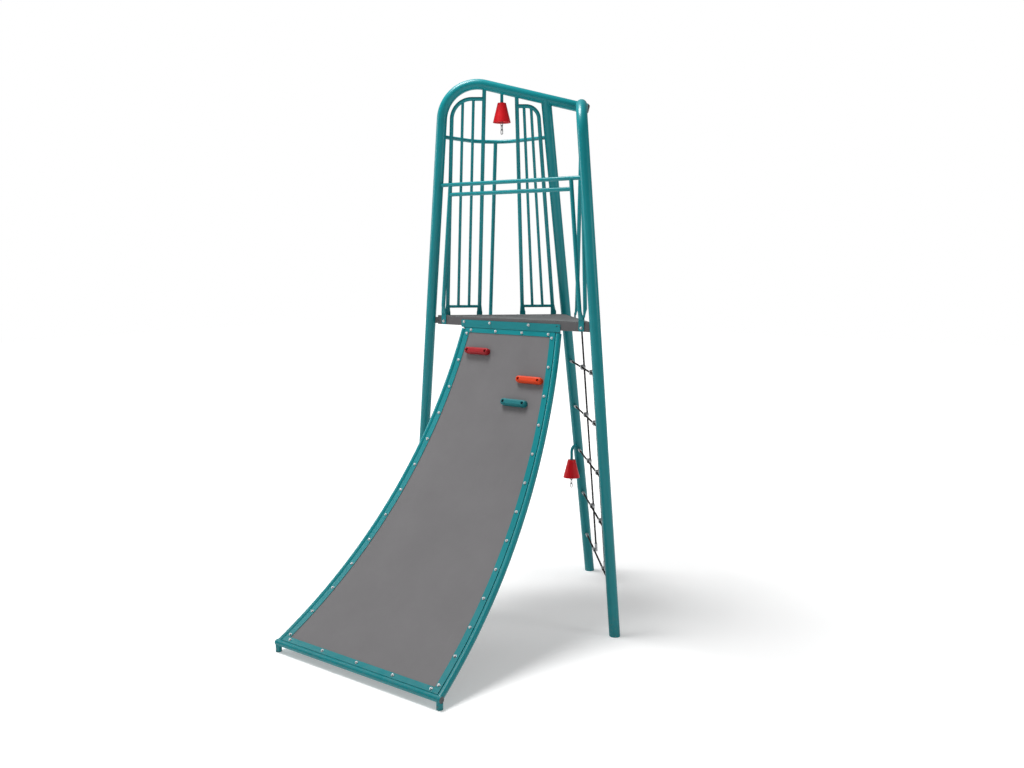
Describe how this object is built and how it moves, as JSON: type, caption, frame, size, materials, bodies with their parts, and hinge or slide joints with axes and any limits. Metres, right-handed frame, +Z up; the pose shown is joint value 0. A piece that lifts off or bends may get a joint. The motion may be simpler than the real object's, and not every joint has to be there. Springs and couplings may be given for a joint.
{
  "type": "rock climbing wall",
  "caption": "Playground climbing tower with a curved climbing wall, triangular deck, rope net, guard rails, slide pole and pull bells.",
  "frame": {"origin": "on the ground, at the middle of the outer box", "axes": "+X from the left leg to the right leg as seen from the climbing wall, +Y from the wall's foot to the rear leg, +Z up"},
  "size_m": [2.2572, 3.231, 4.5464],
  "materials": {
    "teal_coat": "teal powder coat on steel tube, satin",
    "wall_sheet": "dense grey plastic laminate sheet, low sheen",
    "deck_top": "grey embossed non-slip deck surface",
    "deck_edge": "grey powder coat",
    "end_cap": "dark grey moulded cap",
    "zinc_fastener": "zinc-plated dome nuts and screws",
    "net_fitting": "pressed aluminium rope fittings, satin",
    "black_rope": "black polyester sheath on steel-cored rope",
    "bell_red": "red coat",
    "chain_steel": "bright steel",
    "hold_red": "moulded polyester resin, fine grit",
    "hold_orange": "moulded polyester resin, fine grit",
    "hold_teal": "moulded polyester resin, fine grit"
  },
  "bodies": {
    "tower": {"beam_bell": "bell_red", "beam_bell_hanger": "teal_coat", "beam_end_cap": "end_cap", "bell_eyes": "chain_steel", "curved_rail": "teal_coat", "deck_corner_brackets": "deck_edge", "deck_panel": "deck_top", "deck_screws": "zinc_fastener", "edge_strip_bottom": "teal_coat", "edge_strip_left": "teal_coat", "edge_strip_right": "teal_coat", "edge_strip_top": "teal_coat", "front_fascia": "deck_edge", "front_guard": "teal_coat", "grab_pole_front": "teal_coat", "grab_pole_rear": "teal_coat", "guard_nuts": "zinc_fastener", "guard_panel_left": "teal_coat", "guard_panel_right": "teal_coat", "hold_orange": "hold_orange", "hold_red": "hold_red", "hold_screws": "zinc_fastener", "hold_teal": "hold_teal", "left_fascia": "deck_edge", "left_leg_and_beam": "teal_coat", "leg_bell": "bell_red", "leg_bell_hook": "teal_coat", "net_anchors": "net_fitting", "net_clamps": "net_fitting", "net_lugs": "teal_coat", "net_rope_1": "black_rope", "net_rope_2": "black_rope", "net_rung_1": "black_rope", "net_rung_2": "black_rope", "net_rung_3": "black_rope", "net_rung_4": "black_rope", "net_rung_5": "black_rope", "net_tee_ferrules": "net_fitting", "rear_leg": "teal_coat", "right_fascia": "deck_edge", "right_leg_and_arm": "teal_coat", "rung_ferrules": "net_fitting", "rung_forks": "net_fitting", "slide_pole": "teal_coat", "wall_backing_flange": "teal_coat", "wall_bottom_tube": "teal_coat", "wall_feet": "teal_coat", "wall_foot_screws": "zinc_fastener", "wall_mount_plate": "teal_coat", "wall_nuts": "zinc_fastener", "wall_plate_nuts": "zinc_fastener", "wall_sheet": "wall_sheet", "wall_top_bar": "teal_coat", "wall_tube_caps": "end_cap", "wall_tube_left": "teal_coat", "wall_tube_right": "teal_coat"},
    "beam_bell_swing": {"beam_clapper": "chain_steel", "beam_bell_chain": "chain_steel"},
    "leg_bell_swing": {"leg_clapper": "chain_steel", "leg_bell_chain": "chain_steel"}
  },
  "joints": [
    {"name": "beam_bell_clapper", "type": "hinge", "parent": "tower", "child": "beam_bell_swing", "pos_m": [-0.29819, 0.56133, 4.299], "axis": [1, 0, 0], "range_deg": [-20, 20]},
    {"name": "leg_bell_clapper", "type": "hinge", "parent": "tower", "child": "leg_bell_swing", "pos_m": [0, 1.23703, 1.103], "axis": [1, 0, 0], "range_deg": [-20, 20]}
  ]
}
